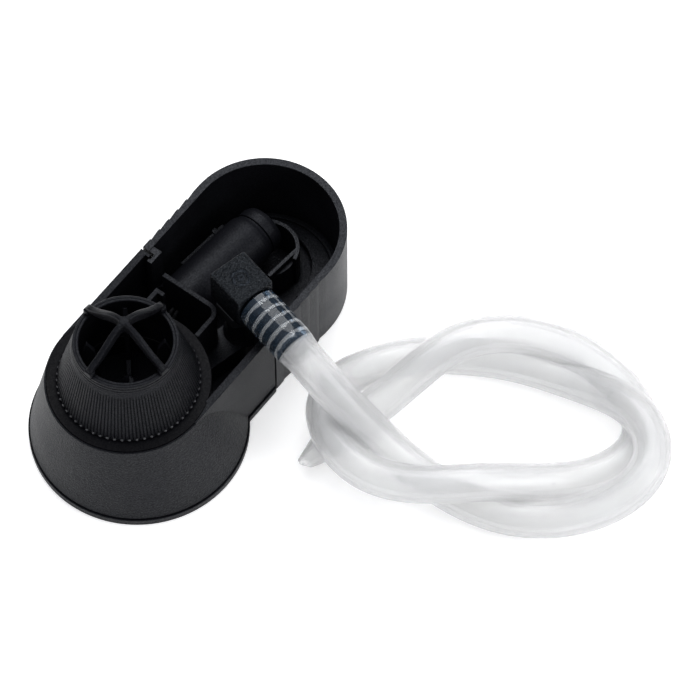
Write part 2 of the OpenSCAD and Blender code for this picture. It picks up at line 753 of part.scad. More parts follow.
face_plate();
face_gasket();
face_screws();
front_housing();
rear_cover();
pump_deck();
inner_bracket();
motor_sleeve();
pump_chamber();
chamber_seal();
motor_can();
motor_magnets();
motor_end_bell();
upper_bush();
lower_bush();
shaft_seal();
drive_shaft();
motor_rotor();
impeller();
nozzle_cone();
intake_guard();
outlet_duct();
duct_cover();
elbow();
elbow_nut();
stem_oring();
battery_capsule();
battery_cell();
front_contact();
capsule_cap();
cap_oring();
cap_spring();
control_board();
board_parts();
tact_switch();
switch_plunger();
power_button();
motor_leads();
battery_leads();
lead_gland();
hose_cuff();
hose();
hose_tip();
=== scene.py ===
# %% [markdown]
# # A small battery pool cleaner, lying on its face plate
# The object is a black suction head for a pool: a flared skirt, a ribbed cone with a guard
# over its mouth, a long open rear cover, and a clear silicone hose that leaves a square elbow.
# The CAD model is loaded first and is the frame for everything: a piece takes its place from
# the CAD nodes, and rides on one of their bodies, so that it moves when the joint moves.

# %% Load the frame
import json, math
import bmesh, bpy
from mathutils import Matrix, Vector

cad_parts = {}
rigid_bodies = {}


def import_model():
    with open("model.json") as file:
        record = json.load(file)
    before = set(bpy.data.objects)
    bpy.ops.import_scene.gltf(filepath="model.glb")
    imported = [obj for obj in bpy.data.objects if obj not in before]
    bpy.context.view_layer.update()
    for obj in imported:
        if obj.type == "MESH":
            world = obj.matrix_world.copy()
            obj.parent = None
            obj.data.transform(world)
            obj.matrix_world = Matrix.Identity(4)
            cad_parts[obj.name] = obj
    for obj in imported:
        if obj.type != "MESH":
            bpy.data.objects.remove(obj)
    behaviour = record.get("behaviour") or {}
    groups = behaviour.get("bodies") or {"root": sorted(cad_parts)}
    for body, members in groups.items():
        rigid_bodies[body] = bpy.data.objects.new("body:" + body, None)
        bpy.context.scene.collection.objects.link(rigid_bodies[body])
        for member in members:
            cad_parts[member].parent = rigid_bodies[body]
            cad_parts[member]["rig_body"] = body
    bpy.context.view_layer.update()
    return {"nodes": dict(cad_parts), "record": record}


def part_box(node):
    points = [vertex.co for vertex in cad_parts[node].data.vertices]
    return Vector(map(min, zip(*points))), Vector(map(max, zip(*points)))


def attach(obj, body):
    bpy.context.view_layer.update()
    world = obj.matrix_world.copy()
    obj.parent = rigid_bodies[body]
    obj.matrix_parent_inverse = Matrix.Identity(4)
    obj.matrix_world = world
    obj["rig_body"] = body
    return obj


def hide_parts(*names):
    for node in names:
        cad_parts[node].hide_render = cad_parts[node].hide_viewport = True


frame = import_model()
nodes = frame["nodes"]
mm = 0.001

# %% [markdown]
# ## Camera
# A long lens from about 1.6 m keeps the object's sides nearly parallel. The axes of the view
# are given as two directions, and the third one follows from them.

# %% Camera
forward = Vector((0.4015, 0.3019, -0.8647)).normalized()
right = Vector((0.601, -0.799, 0)).normalized()
up = right.cross(forward)
camera_data = bpy.data.cameras.new("camera")
camera = bpy.data.objects.new("camera", camera_data)
bpy.context.scene.collection.objects.link(camera)
camera_data.sensor_width, camera_data.lens = 36, 230.6
camera_data.clip_start, camera_data.clip_end = 0.1, 10
camera.matrix_world = (Matrix.Translation((-0.58218, -0.53568, 1.41559))
                       @ Matrix((right, up, -forward)).transposed().to_4x4())
bpy.context.scene.camera = camera
print("camera", camera.location.length)

# %% [markdown]
# ## Helpers for meshes
# Every new piece is a mesh made from points and faces. One helper links it, gives it smooth
# shading with sharp edges above an angle, and makes it ride on its CAD body. The others make
# the points and faces: a skin over rings, several meshes in one, a profile turned round Z,
# and a curve through a few stops, which the hose and the guard's arms both follow.

# %% Making a piece
def piece(name, points, faces, material, body, stands_for=(), at=None, sharp=35):
    mesh = bpy.data.meshes.new(name)
    mesh.from_pydata([tuple(p) for p in points], [], faces)
    mesh.validate()
    mesh.materials.append(material)
    mesh.shade_smooth()
    mesh.set_sharp_from_angle(angle=math.radians(sharp))
    made = bpy.data.objects.new(name, mesh)
    bpy.context.scene.collection.objects.link(made)
    if at:
        made.matrix_world = at
    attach(made, body)
    if stands_for:
        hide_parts(*stands_for)
    return made


def skin(rings, closed=False):
    """Points and faces of rings of equal size that are joined one to the next."""
    count = len(rings[0])
    points = [p for ring in rings for p in ring]
    last = len(rings) if closed else len(rings) - 1
    faces = [(i * count + j, i * count + (j + 1) % count,
              (i + 1) % len(rings) * count + (j + 1) % count, (i + 1) % len(rings) * count + j)
             for i in range(last) for j in range(count)]
    return points, faces


def joined(*parts):
    """Several (points, faces) in one."""
    points, faces = [], []
    for p, f in parts:
        faces += [tuple(i + len(points) for i in face) for face in f]
        points += list(p)
    return points, faces


def turned(profile, count, rise_at=None):
    """A closed profile of (radius, height) turned round Z, with a rise added to its radius."""
    rings = []
    for r, z in profile:
        ring = []
        for k in range(count):
            a = 2 * math.pi * k / count
            q = r + (rise_at(r, z, a) if rise_at else 0)
            ring.append((q * math.cos(a), q * math.sin(a), z))
        rings.append(ring)
    return skin(rings, closed=True)


def curve_through(stops, pieces):
    """Points on a smooth curve through the stops, with so many pieces from stop to stop."""
    ends = [2 * stops[0] - stops[1], *stops, 2 * stops[-1] - stops[-2]]
    line = []
    for a, b, c, d in zip(ends, ends[1:], ends[2:], ends[3:]):
        for k in range(pieces):
            t = k / pieces
            line.append(0.5 * (2 * b + (c - a) * t + (2 * a - 5 * b + 4 * c - d) * t * t
                               + (3 * b - a - 3 * c + d) * t ** 3))
    return [*line, stops[-1]]


print("mesh helpers: piece, skin, joined, turned, curve_through")


# %% [markdown]
# ## Finishes
# Nearly everything is black injection-moulded plastic. Such a surface is never one flat
# colour: the mould's spark-eroded grain breaks the light into fine points, flow marks change
# the gloss over some centimetres, and dust leaves a few pale specks. Each finish is a noise
# for each of these three, on object coordinates, so that it keeps its real size everywhere.

# %% Node helpers
def node(tree, kind, **values):
    made = tree.nodes.new("ShaderNode" + kind)
    for key, value in values.items():
        if key in made.inputs.keys():
            made.inputs[key].default_value = value
        else:
            setattr(made, key, value)
    return made


def noise_at(tree, per_metre, detail=2.0):
    """Noise on object coordinates, with so many cells in a metre."""
    coords = node(tree, "TexCoord")
    texture = node(tree, "TexNoise", Scale=per_metre, Detail=detail)
    tree.links.new(coords.outputs["Object"], texture.inputs["Vector"])
    return texture.outputs["Fac"]


def ramp(tree, source, low, high, colour_low, colour_high):
    made = node(tree, "ValToRGB")
    made.color_ramp.elements[0].position, made.color_ramp.elements[1].position = low, high
    made.color_ramp.elements[0].color = (*colour_low, 1)
    made.color_ramp.elements[1].color = (*colour_high, 1)
    tree.links.new(source, made.inputs["Fac"])
    return made.outputs["Color"]


def remap(tree, source, low, high, to_low, to_high, clamp=True):
    """A value carried over from one range to another."""
    limits = {"From Min": low, "From Max": high, "To Min": to_low, "To Max": to_high}
    made = node(tree, "MapRange", clamp=clamp, **limits)
    tree.links.new(source, made.inputs["Value"])
    return made.outputs["Result"]


def maths(tree, operation, *terms):
    """A Math node whose terms are sockets or plain numbers."""
    made = node(tree, "Math", operation=operation)
    for socket, term in zip(made.inputs, terms):
        if isinstance(term, (int, float)):
            socket.default_value = term
        else:
            tree.links.new(term, socket)
    return made.outputs["Value"]


def colours_mixed(tree, kind, first, second, share=1.0):
    made = node(tree, "Mix", data_type="RGBA", blend_type=kind)
    made.inputs["Factor"].default_value = share
    tree.links.new(first, made.inputs["A"])
    tree.links.new(second, made.inputs["B"])
    return made.outputs["Result"]


def bumped(tree, height, strength, distance, under=None):
    """A bump of so many millimetres, on top of another normal if there is one."""
    made = node(tree, "Bump", Strength=strength, Distance=distance * mm)
    tree.links.new(height, made.inputs["Height"])
    if under:
        tree.links.new(under, made.inputs["Normal"])
    return made.outputs["Normal"]


print("node helpers: node, noise_at, ramp, remap, maths, colours_mixed, bumped")

# %% [markdown]
# ## One recipe for the hard finishes
# The grain is a bump and a small change of gloss. Where the plastic is grained, its sheen
# also sparkles a little, and a painted shade lowers it in creases and grooves: a node that
# tells how enclosed a point is sets where that painted shade falls. A rounded-edge node makes
# the moulded edges catch the light as thin lines without a change to the mesh. A bevel in the
# mesh can break faces on solids with many thin walls, so on those it stays in the finish. A
# glTF exporter leaves out a sheen that nodes work out, so an exported model is glossier than
# this render.

# %% Recipe of a finish
# The painted shade in creases: how far round a point it looks, in mm, and the openness range over which the sheen
# comes back.
painted_shade_reach = 1.3
painted_shade_open = (0.62, 0.97)
gloss_change = 0.09


def finish(name, colour, rough=0.5, grain=2600, depth=0.04, spread=0.25, specks=0.0, slot=None,
           flow=60, fine=0.35, soft=0.0, sheen=0.0, **shader):
    """A moulded, painted or plated finish, with grain, flow marks and specks.

    sheen is the mean specular level of a grained plastic; painted shade lowers it in creases and grooves.
    """
    made = bpy.data.materials.new(name)
    made.use_nodes = True
    tree = made.node_tree
    bsdf = tree.nodes["Principled BSDF"]
    for key, value in shader.items():
        bsdf.inputs[key.replace("_", " ")].default_value = value
    patches = noise_at(tree, flow, 3)
    dark = [c * (1 - spread) for c in colour]
    pale = [c * (1 + spread) for c in colour]
    tone = ramp(tree, patches, 0.35, 0.65, dark, pale)
    if specks:
        dust = ramp(tree, noise_at(tree, 900, 1), 0.76, 0.80, (0, 0, 0), (specks,) * 3)
        tone = colours_mixed(tree, "ADD", tone, dust)
    tree.links.new(tone, bsdf.inputs["Base Color"])
    gloss = remap(tree, patches, 0, 1, max(rough - gloss_change, 0.02), min(rough + gloss_change, 1))
    tree.links.new(gloss, bsdf.inputs["Roughness"])
    edge = node(tree, "Bevel", samples=4, Radius=soft * mm).outputs["Normal"] if soft else None
    tree.links.new(bumped(tree, noise_at(tree, grain, 3), fine, depth, edge), bsdf.inputs["Normal"])
    # Painted shade: the sheen sinks to a tenth of its mean where a point is enclosed.
    if sheen:
        painted_crease_shade = node(tree, "AmbientOcclusion", samples=6, Distance=painted_shade_reach * mm)
        sheen_under_painted_shade = remap(tree, painted_crease_shade.outputs["AO"], *painted_shade_open, 0.1 * sheen, sheen)
        sparkle = remap(tree, noise_at(tree, 1900, 1), 0.3, 0.7, 0.55, 1.45)
        tree.links.new(maths(tree, "MULTIPLY", sheen_under_painted_shade, sparkle), bsdf.inputs["Specular IOR Level"])
    made["slot"] = slot or name
    return made


print("a finish takes its gloss from", gloss_change, "either way and creases from", painted_shade_reach, "mm")

# %% [markdown]
# ## The finishes
# There is one for each material slot of the CAD model. The two black plastics are nearly
# black in colour, and what is seen of them is mostly their sheen, which is tinted a little
# blue. The metals, rubbers and the board are inside and get plainer finishes.

# %% The finishes by the record's slots
shell_black = (0.0040, 0.0042, 0.0056)
cool_sheen = (0.88, 0.92, 1.0, 1)
look = {
    "black_shell": finish("black_shell", shell_black, 0.5, 1500, 0.24, 0.25, 0.02, fine=1.0,
                          soft=0.3, sheen=0.2, Specular_Tint=cool_sheen),
    "dark_moulding": finish("dark_moulding", (0.0036, 0.0038, 0.0052), 0.46, 1700, 0.14, 0.18, 0.02,
                            fine=0.8, soft=0.25, sheen=0.17, Specular_Tint=cool_sheen),
    "nylon": finish("nylon", (0.0080, 0.0088, 0.0105), 0.5, 1500, 0.1, 0.2, 0.02, fine=0.8, soft=0.3),
    "black_rubber": finish("black_rubber", (0.012, 0.012, 0.013), 0.7, 3000, 0.05),
    "red_rubber": finish("red_rubber", (0.25, 0.03, 0.02), 0.6, 3000, 0.05),
    "steel": finish("steel", (0.62, 0.62, 0.63), 0.28, 1800, 0.02, 0.08, Metallic=1.0),
    "bronze": finish("bronze", (0.62, 0.42, 0.2), 0.32, 2400, 0.03, 0.1, Metallic=1.0),
    "copper": finish("copper", (0.5, 0.22, 0.09), 0.35, 2400, 0.08, 0.15, Metallic=1.0),
    "ferrite": finish("ferrite", (0.05, 0.05, 0.055), 0.6, 3000, 0.08),
    "white_plastic": finish("white_plastic", (0.7, 0.68, 0.62), 0.45, 2600, 0.03, 0.05),
    "cell_wrap": finish("cell_wrap", (0.04, 0.16, 0.26), 0.25, 900, 0.02, 0.08),
    "board_green": finish("board_green", (0.02, 0.16, 0.07), 0.3, 1500, 0.03, 0.25),
    "component_black": finish("component_black", (0.03, 0.03, 0.03), 0.55, 3200, 0.05),
    "lead_red": finish("lead_red", (0.42, 0.03, 0.02), 0.35, 1800, 0.03, 0.1),
}
print("finishes", len(look))

# %% [markdown]
# ## Clear silicone
# The hose is milky clear silicone. Light goes through it and bends, in a real hollow tube, a
# share of plain white makes it milky, and it lets a little of what lies behind show through
# unbent.

# %% Silicone finish
def silicone_finish(name, through, rough, solid, dark, pale, wave):
    """Silicone that sends so much light through, with a haze from dark to pale and a wavy skin."""
    made = bpy.data.materials.new(name)
    made.use_nodes = True
    tree = made.node_tree
    bsdf = tree.nodes["Principled BSDF"]
    haze = ramp(tree, noise_at(tree, 45, 3), 0.3, 0.7, dark, pale)
    dust = ramp(tree, noise_at(tree, 330, 0), 0.84, 0.85, (1, 1, 1), (0.6, 0.62, 0.64))
    tree.links.new(colours_mixed(tree, "MULTIPLY", haze, dust), bsdf.inputs["Base Color"])
    for key, value in (("Transmission Weight", through), ("Roughness", rough), ("IOR", 1.41),
                       ("Alpha", solid), ("Specular IOR Level", 0.6)):
        bsdf.inputs[key].default_value = value
    tree.links.new(bumped(tree, noise_at(tree, 120, 2), wave, 0.25), bsdf.inputs["Normal"])
    made["slot"] = "clear_silicone"
    return made


look["clear_silicone"] = silicone_finish("clear_silicone", 0.7, 0.2, 0.72,
                                         (0.915, 0.92, 0.925), (0.955, 0.955, 0.955), 0.3)
print("silicone", look["clear_silicone"].name)

# %% [markdown]
# ## The hose
# One 10 x 14 mm silicone tube, 0.65 m long, is pushed over the barb, runs down to the floor
# and lies in one loose turn and a half, passing over itself in low humps. It is a hollow
# mesh swept along its route: the stops are joined by a smooth curve that is sampled evenly
# and then relaxed a little, as a stiff tube has no small wobbles.

# %% Route of the hose
outlet_turn = math.radians(-14)
stem_distance, barb_height = 0.051, 0.0482
elbow_at = Vector((stem_distance * math.cos(outlet_turn), stem_distance * math.sin(outlet_turn),
                   barb_height))
hose_way = Vector((math.sin(outlet_turn), -math.cos(outlet_turn), 0))
cut_end = elbow_at + 0.0093 * hose_way
hose_stops = [(0.0403, -0.053, 0.0435), (0.0406, -0.062, 0.036), (0.042, -0.071, 0.027),
    (0.0437, -0.080, 0.0175), (0.0453, -0.089, 0.010), (0.046, -0.098, 0.0071), (0.046, -0.109, 0.0071),
    (0.0475, -0.120, 0.0071), (0.051, -0.131, 0.0073), (0.057, -0.142, 0.009), (0.0645, -0.152, 0.0125),
    (0.073, -0.1595, 0.017), (0.082, -0.1632, 0.0205), (0.091, -0.163, 0.0216),
    (0.0985, -0.1593, 0.0216), (0.1037, -0.1533, 0.0216), (0.1066, -0.146, 0.0214),
    (0.1083, -0.137, 0.0185), (0.109, -0.128, 0.014), (0.1088, -0.118, 0.010), (0.1075, -0.108, 0.0075),
    (0.1043, -0.097, 0.0071), (0.0997, -0.087, 0.0071), (0.094, -0.0775, 0.0071),
    (0.0875, -0.068, 0.0071), (0.0795, -0.060, 0.0071), (0.070, -0.0538, 0.0076),
    (0.060, -0.0506, 0.0105), (0.050, -0.0512, 0.0155), (0.041, -0.055, 0.0203), (0.034, -0.0618, 0.0216),
    (0.0298, -0.071, 0.0205), (0.029, -0.081, 0.0192), (0.031, -0.091, 0.0196), (0.0355, -0.101, 0.0213),
    (0.042, -0.110, 0.0218), (0.0505, -0.1185, 0.0208), (0.061, -0.1275, 0.015), (0.072, -0.137, 0.0095),
    (0.083, -0.1455, 0.0072), (0.094, -0.1505, 0.0071), (0.1035, -0.1508, 0.0071),
    (0.111, -0.1465, 0.0071), (0.116, -0.139, 0.0071), (0.1188, -0.1305, 0.0083),
    (0.119, -0.1205, 0.0115), (0.1165, -0.110, 0.0155), (0.1118, -0.0998, 0.0188),
    (0.106, -0.091, 0.021), (0.0985, -0.083, 0.0216), (0.090, -0.0774, 0.0216),
    (0.0813, -0.074, 0.0198), (0.0723, -0.071, 0.0155), (0.064, -0.068, 0.011),
    (0.0555, -0.0652, 0.008), (0.0465, -0.0628, 0.0071), (0.038, -0.0612, 0.0071), (0.022, -0.0582, 0.0071)]


def smooth_route(stops, step, rounds=14):
    """Even points on a curve through the stops, relaxed in some rounds."""
    fine = curve_through([Vector(p) for p in stops], 12)
    even, left = [fine[0]], step
    for a, b in zip(fine, fine[1:]):
        way = (b - a).length
        while way > 0 and left <= way:
            a = a + (b - a) * (left / way)
            way -= left
            left = step
            even.append(a)
        left -= way
    for _ in range(rounds):
        even = [even[0], *[(p + 2 * q + r) / 4 for p, q, r in zip(even, even[1:], even[2:])], even[-1]]
    return even


straight = [cut_end + hose_way * d * mm for d in (0, 6, 12, 18, 22, 25.5)]
hose_path = smooth_route([*straight, *hose_stops], 2.4 * mm)
walked = [0.0]
for a, b in zip(hose_path, hose_path[1:]):
    walked.append(walked[-1] + (b - a).length)

# %% [markdown]
# ## The hose's wall
# The tube is stretched over the barb, so it starts wide, shows the four rings of the barb as
# faint swellings, narrows again behind the last one, and ends in a slanting, pinched cut.

# %% Sweep of the hollow hose
ring_pitch, rings_from, barb_rings = 4.2, 2.2, 4
stretch_outer, stretch_inner, stretch_length, taper_length = 7.72, 5.2, 19, 7
hose_outer, hose_bore = 7.0, 5.0


def hose_radii(d):
    """Outer and inner radius at a distance from the cut end, in mm."""
    over_rings = max(min(d - rings_from, barb_rings * ring_pitch), 0)
    swell = 0.16 * (1 - math.cos(2 * math.pi * over_rings / ring_pitch)) / 2
    if d < stretch_length:
        return stretch_outer + swell, stretch_inner + swell
    t = min((d - stretch_length) / taper_length, 1)
    t = t * t * (3 - 2 * t)
    return stretch_outer + (hose_outer - stretch_outer) * t, stretch_inner + (hose_bore - stretch_inner) * t


def hose_mesh(path, count=44):
    rings = {True: [], False: []}
    total = walked[-1] / mm
    for i, centre in enumerate(path):
        way = (path[min(i + 1, len(path) - 1)] - path[max(i - 1, 0)]).normalized()
        side = Vector((0, 0, 1)).cross(way).normalized()
        rise = way.cross(side)
        d = walked[i] / mm
        to_end = total - d
        pinch = min(max(1 - to_end / 15, 0), 1) ** 1.1
        for outer, r in zip((True, False), hose_radii(d)):
            ring = []
            for k in range(count):
                a = 2 * math.pi * k / count
                s, u = math.cos(a), math.sin(a)
                wide, high = r * (1 - 0.64 * pinch), r * (1 - 0.4 * pinch)
                slant = 6.0 * (1 - u) / 2 * min(max(1 - to_end / 20, 0), 1)
                point = centre + mm * (side * s * wide + rise * (u * high - 1.4 * pinch) - way * slant)
                ring.append(point)
            rings[outer].append(ring)
    loops = rings[True] + rings[False][::-1]
    return skin(loops, closed=True)


print("wall from", round(stretch_outer - stretch_inner, 2), "to", hose_outer - hose_bore, "mm")

# %% [markdown]
# ## The stretched end of the hose
# Over the barb the silicone is clearer, and the barb's dark rings press against its wall. The
# barb is modelled inside, but it shows only faintly through the tube, so the dark bands seen
# here are mostly a pattern in the finish at the rings' pitch, with edges made ragged by noise.

# %% Finish of the stretched end
def stretched_finish():
    """Clearer silicone with dark bands at the pitch of the barb's rings."""
    made = silicone_finish("stretched_silicone", 0.82, 0.05, 0.95, (0.86, 0.92, 0.98), (0.95, 0.98, 1.0), 0.6)
    tree = made.node_tree
    bsdf = tree.nodes["Principled BSDF"]
    coords = node(tree, "TexCoord")
    along = node(tree, "VectorMath", operation="DOT_PRODUCT")
    along.inputs[1].default_value = tuple(hose_way)
    tree.links.new(coords.outputs["Object"], along.inputs[0])
    first = cut_end.dot(hose_way) + rings_from * mm
    steps = remap(tree, along.outputs["Value"], first, first + ring_pitch * mm, 0, 1, clamp=False)
    share = maths(tree, "FRACT", steps)
    ragged = maths(tree, "MULTIPLY_ADD", noise_at(tree, 420, 1), 0.5, share)
    bands = ramp(tree, ragged, 0.54, 0.62, (1, 1, 1), (0.04, 0.075, 0.12))
    base = bsdf.inputs["Base Color"].links[0].from_socket
    tree.links.new(colours_mixed(tree, "MULTIPLY", base, bands, 0.97), bsdf.inputs["Base Color"])
    return made


stretched_silicone = stretched_finish()
print("stretched end", stretched_silicone.name)

# %% [markdown]
# ## The hose as a piece
# It stands for the three CAD solids of the hose.

# %% The hose
band_end, above_floor = 21.5 * mm, 25 * mm
points, faces = hose_mesh(hose_path)
hose = piece("silicone_hose", points, faces, look["clear_silicone"], "base",
             ("hose_cuff", "hose", "hose_tip"), sharp=50)
hose.data.materials.append(stretched_silicone)
for face in hose.data.polygons:
    if (face.center - cut_end).dot(hose_way) < band_end and face.center.z > above_floor:
        face.material_index = 1
print("hose mesh", len(points), "points")

# %% [markdown]
# ## The ribbed nozzle cone
# The cone is turned from a profile. Many flat ribs with narrow grooves between them run up
# to a smooth band below the rim, and a row of small round beads goes round at the deck, one
# to two ribs. The ribs are in the mesh, by a radius that changes with the angle, so they
# show in any view.

# %% Cone profile and ribs
mouth_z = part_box("nozzle_cone")[1].z / mm
deck_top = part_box("pump_deck")[1].z / mm
rib_count, bead_count = 120, 60
smooth_band, rib_start, rib_fade = 4.2, 0.9, 2.0


def rib_height(r, z, angle):
    """Height of a rib, or depth of a groove, at a place on the cone, in mm."""
    if z < deck_top + rib_start or z > mouth_z - smooth_band or r < outer_at(z) - 0.4:
        return 0
    wave = abs(((angle * rib_count / (2 * math.pi)) % 1) - 0.5) * 2
    flat = min(max((0.9 - wave) / 0.3, 0), 1)
    grow = min((mouth_z - smooth_band - z) / rib_fade, 1)
    return 0.3 * flat * grow - 0.2 * grow


def outer_at(z):
    """Outer radius of the bare cone at a height, in mm."""
    for (r0, z0), (r1, z1) in zip(cone_outside, cone_outside[1:]):
        if z0 <= z <= z1:
            return r0 + (r1 - r0) * (z - z0) / (z1 - z0)
    return 99


base_z = deck_top + 0.2
cone_outside = [(25.1, base_z), (25.3, base_z + 0.5), (25.0, base_z + 1.6), (24.4, base_z + 4),
                (23.5, base_z + 7.5), (22.55, base_z + 11), (21.6, base_z + 14.5), (20.65, base_z + 18),
                (19.9, base_z + 20.6), (19.3, mouth_z - 3.9), (19.05, mouth_z - 3.3)]
cone_rim = [(19.05, mouth_z - 3.0), (18.85, mouth_z - 2.8), (18.8, mouth_z - 1.75), (18.62, mouth_z - 1.6),
            (18.62, mouth_z - 1.4), (18.7, mouth_z - 1.25), (18.7, mouth_z - 0.25), (18.45, mouth_z),
            (17.75, mouth_z), (17.62, mouth_z - 0.16), (17.5, mouth_z), (16.75, mouth_z),
            (16.5, mouth_z - 0.25), (16.5, mouth_z - 1.8), (17.6, mouth_z - 6.5), (19.4, mouth_z - 13),
            (20.4, base_z + 4.5), (20.5, base_z - 5.0), (22.3, base_z - 5.0), (22.3, base_z)]
outside = []
for (r0, z0), (r1, z1) in zip(cone_outside, cone_outside[1:]):
    outside += [(r0 + (r1 - r0) * t / 3, z0 + (z1 - z0) * t / 3) for t in range(3)]
cone_profile = [(r * mm, z * mm) for r, z in [*outside, cone_outside[-1], *cone_rim]]
cone = turned(cone_profile, rib_count * 8, lambda r, z, a: rib_height(r / mm, z / mm, a) * mm)
print("cone", len(cone[0]), "points, mouth at", round(mouth_z, 2), "mm")

# %% [markdown]
# ## Beads and lugs
# The beads are small and many, so each has few faces. Three lugs below the foot of the cone
# hold it in the deck.

# %% Beads and lugs
bead_ring, bead_radius = 25.1, 0.72


def bead(centre, radius, rows=5, count=8):
    """A small round bead."""
    rings = [[(centre[0] + radius * math.sin(math.pi * (i + 0.5) / rows) * math.cos(2 * math.pi * k / count),
               centre[1] + radius * math.sin(math.pi * (i + 0.5) / rows) * math.sin(2 * math.pi * k / count),
               centre[2] - radius * math.cos(math.pi * (i + 0.5) / rows)) for k in range(count)]
             for i in range(rows)]
    points, faces = skin(rings)
    return points, faces + [tuple(range(count)), tuple(range((rows - 1) * count, rows * count))[::-1]]


beads = []
for k in range(bead_count):
    a = 2 * math.pi * (k + 0.5) / bead_count
    centre = (bead_ring * mm * math.cos(a), bead_ring * mm * math.sin(a), (base_z + 0.8) * mm)
    beads.append(bead(centre, bead_radius * mm))
lugs = []
for a in (60, 180, 300):
    arc = [math.radians(a - 12 + 2 * k) for k in range(13)]
    z0, z1 = (base_z - 5.0) * mm, (base_z - 2.7) * mm
    rings = [[(r * mm * math.cos(t), r * mm * math.sin(t), z) for r, z in
              ((22.0, z0), (24.1, z0), (24.2, z0 + 0.1 * mm), (24.2, z1 - 0.1 * mm), (24.1, z1), (22.0, z1))]
             for t in arc]
    points, faces = skin(rings)
    corners = len(rings[0])
    ends = [tuple(range(corners))[::-1], tuple(range(len(points) - corners, len(points)))]
    lugs.append((points, faces + ends))
print("beads", len(beads), "lugs", len(lugs))

# %% [markdown]
# ## The cone as pieces
# The beads are a piece of their own, with their own finish: glossier, and paler as a painted highlight.

# %% Cone and beads
points, faces = joined(cone, *lugs)
nozzle_cone = piece("ribbed_nozzle_cone", points, faces, look["black_shell"], "nozzle", ("nozzle_cone",), sharp=40)
# Painted highlight: a far paler copy of the black plastic, so that the beads show as bright dots.
bead_painted_highlight = finish("bead_painted_highlight", (0.035, 0.036, 0.04), 0.2, 1700, 0.02, 0.1, slot="black_shell")
points, faces = joined(*beads)
cone_beads = piece("cone_beads", points, faces, bead_painted_highlight, "nozzle", sharp=180)
print("beads", len(points), "points")

# %% [markdown]
# ## The guard over the mouth
# Four arms rise from small square feet on the rim, bend over and meet in a flat hub. Each
# arm is a loft: one section across it, rounded at the top, carried along a smooth line.

# %% Guard arms
hub_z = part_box("intake_guard")[1].z / mm
guard_line = [(18.8, 0.0, 1.0), (18.7, 2.2, 1.25), (17.6, 3.7, 2.0), (15.4, 4.9, 2.6), (12.6, 6.9, 3.1),
              (9.8, 9.3, 3.6), (7.2, 11.5, 3.9), (4.8, 13.0, 4.2), (2.6, 13.9, 4.8), (0.2, 14.15, 5.5)]


def guard_arm(turn):
    """One arm, turned about the hub. guard_line holds radius, height and thickness."""
    line = curve_through([Vector(stop) for stop in guard_line], 4)
    rings = []
    for i, (r, z, thick) in enumerate(line):
        before, after = line[max(i - 1, 0)], line[min(i + 1, len(line) - 1)]
        dr, dz = after.x - before.x, after.y - before.y
        size = math.hypot(dr, dz)
        nr, nz = -dz / size, dr / size
        if nz < 0 or (abs(nz) < 0.2 and nr < 0):
            nr, nz = -nr, -nz
        half = 0.95 + 0.2 * max(min((r - 3) / 14, 1), 0) + 0.5 * max(1 - r / 3, 0)
        ring = []
        for across, depth in ((-1, 1), (-1, 0.45), (-0.97, 0.25), (-0.86, 0.1), (-0.66, 0.02), (-0.3, 0),
                              (0.3, 0), (0.66, 0.02), (0.86, 0.1), (0.97, 0.25), (1, 0.45), (1, 1)):
            ring.append(((r - nr * depth * thick) * mm, across * half * mm,
                         (mouth_z + z - nz * depth * thick) * mm))
        rings.append(ring)
    points, faces = skin(rings)
    corners = len(rings[0])
    faces = faces + [tuple(range(corners)), tuple(range(len(points) - corners, len(points)))[::-1]]
    spin = Matrix.Rotation(turn, 3, "Z")
    return [spin @ Vector(p) for p in points], faces


def foot(turn):
    """The square foot of one arm on the rim."""
    outline = [(-1.6, -0.4), (1.6, -0.4), (1.6, 1.9), (1.35, 2.15), (-1.35, 2.15), (-1.6, 1.9)]
    rings = [[(r * mm, y * narrow * mm, (mouth_z + z * low) * mm) for y, z in outline]
             for r, narrow, low in ((16.6, 0.9, 0.93), (16.8, 1, 1), (18.9, 1, 1), (19.05, 0.9, 0.93))]
    points, faces = skin(rings)
    corners = len(outline)
    faces = faces + [tuple(range(corners)), tuple(range(len(points) - corners, len(points)))[::-1]]
    spin = Matrix.Rotation(turn, 3, "Z")
    return [spin @ Vector(p) for p in points], faces


print("hub at", round(hub_z, 2), "mm")

# %% [markdown]
# ## The guard as a piece
# A short stem hangs from the hub. Arms, feet and stem are one moulding and one piece.

# %% Guard
guard_turn = math.radians(-5.5)
arms = [guard_arm(guard_turn + k * math.pi / 2) for k in range(4)]
feet = [foot(guard_turn + k * math.pi / 2) for k in range(4)]
stem_profile = [(0.01, hub_z - 6.0), (1.0, hub_z - 6.0), (1.3, hub_z - 5.6), (1.5, hub_z - 3),
                (1.75, hub_z - 1.2), (1.85, hub_z - 0.5), (1.7, hub_z - 0.12), (1.4, hub_z),
                (0.01, hub_z)]
hub = turned([(r * mm, z * mm) for r, z in stem_profile], 28)
points, faces = joined(*arms, *feet, hub)
guard = piece("mouth_guard", points, faces, look["dark_moulding"], "nozzle", ("intake_guard",), sharp=48)
print("guard", len(points), "points")

# %% [markdown]
# ## Edges of four small pieces
# No moulded edge is knife-sharp: a small round catches the light as a thin bright line. The
# bracket, face plate, nut and cap are simple enough for a real bevel. Each is copied, its
# flat faces are cleaned up, its edges are bevelled, and the copy stands for the node.

